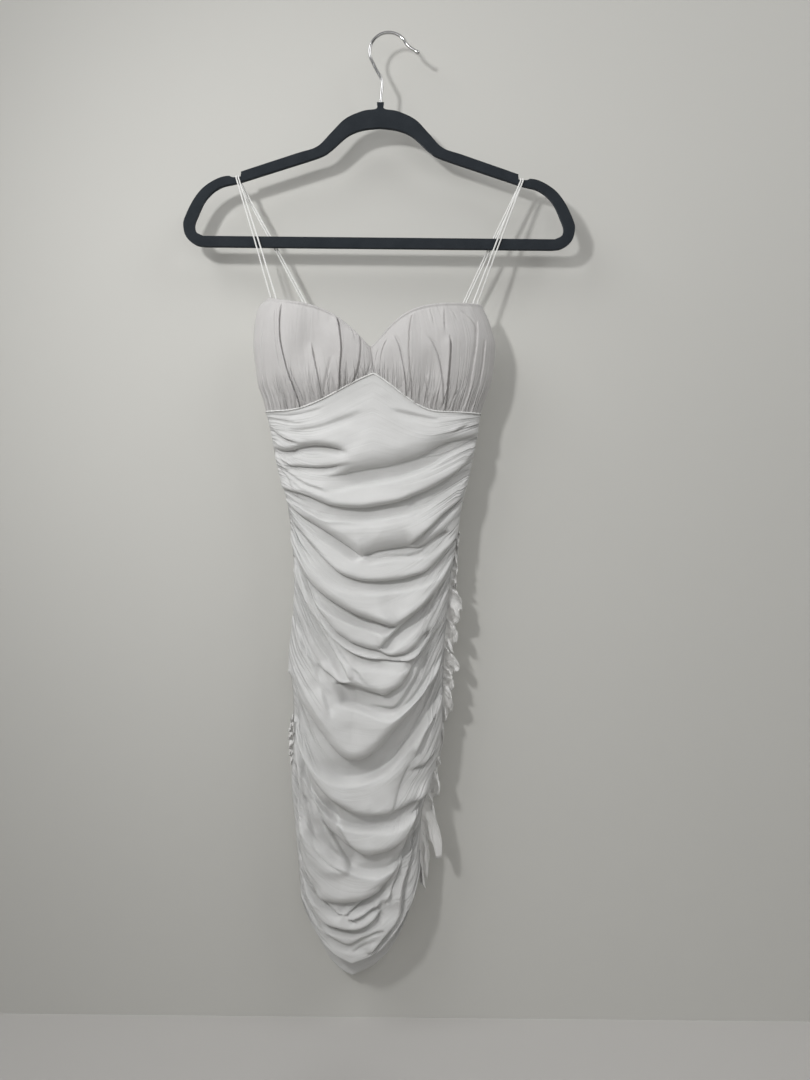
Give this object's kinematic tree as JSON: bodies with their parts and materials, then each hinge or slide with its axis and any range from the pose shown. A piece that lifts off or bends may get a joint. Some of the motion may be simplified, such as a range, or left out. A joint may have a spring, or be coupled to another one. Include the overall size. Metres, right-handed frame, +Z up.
{
  "type": "bodycon dress on a hanger",
  "caption": "Ruched mini dress with gathered sweetheart cups, thin cord straps, side frills and a rounded hem, hanging from a slim notched hanger with a wire hook.",
  "frame": {"origin": "inside of the hanger hook's crown, where it hangs on a rod or a wall hook", "axes": "+Z up, +X to the right seen from the front, the front of the dress faces -Y"},
  "size_m": [0.4462, 0.0778, 1.0861],
  "materials": {
    "body_jersey": "smooth white stretch jersey",
    "cup_jersey": "white jersey over foam",
    "strap_cord": "white rolled cord",
    "flocking": "charcoal flocking",
    "bright_wire": "bright plated wire"
  },
  "bodies": {
    "root": {"cup_left": "cup_jersey", "cup_right": "cup_jersey", "bodice_back": "body_jersey", "body_front": "body_jersey", "body_back": "body_jersey", "ruffle_right": "body_jersey", "ruffle_left": "body_jersey", "strap_left_outer": "strap_cord", "strap_left_inner": "strap_cord", "strap_right_outer": "strap_cord", "strap_right_inner": "strap_cord", "hanger_body": "flocking", "hanger_hook": "bright_wire"}
  },
  "joints": []
}
